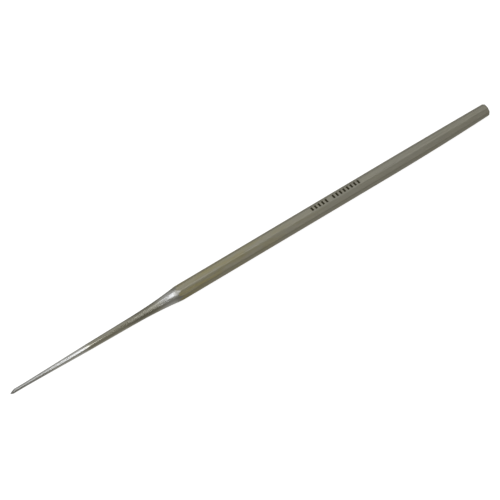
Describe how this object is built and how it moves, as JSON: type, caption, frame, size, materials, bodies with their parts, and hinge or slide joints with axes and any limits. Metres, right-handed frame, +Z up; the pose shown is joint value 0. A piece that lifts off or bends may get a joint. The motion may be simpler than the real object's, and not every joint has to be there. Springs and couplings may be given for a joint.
{
  "type": "scratch awl",
  "caption": "Slender all-steel scratch awl: octagonal handle, turned flared nose and a long tapered needle ground to a slanted point.",
  "frame": {"origin": "middle of the tool's length, on the surface it lies on, straight below its axis", "axes": "+X from the point to the butt along the tool's axis, +Z up out of the flat opposite the one it rests on"},
  "size_m": [0.155, 0.004, 0.004],
  "materials": {
    "handle_steel": "satin, with a short row of dark etched ticks on the top flat",
    "needle_steel": "polished"
  },
  "bodies": {
    "root": {"handle": "handle_steel", "needle": "needle_steel"}
  },
  "joints": []
}
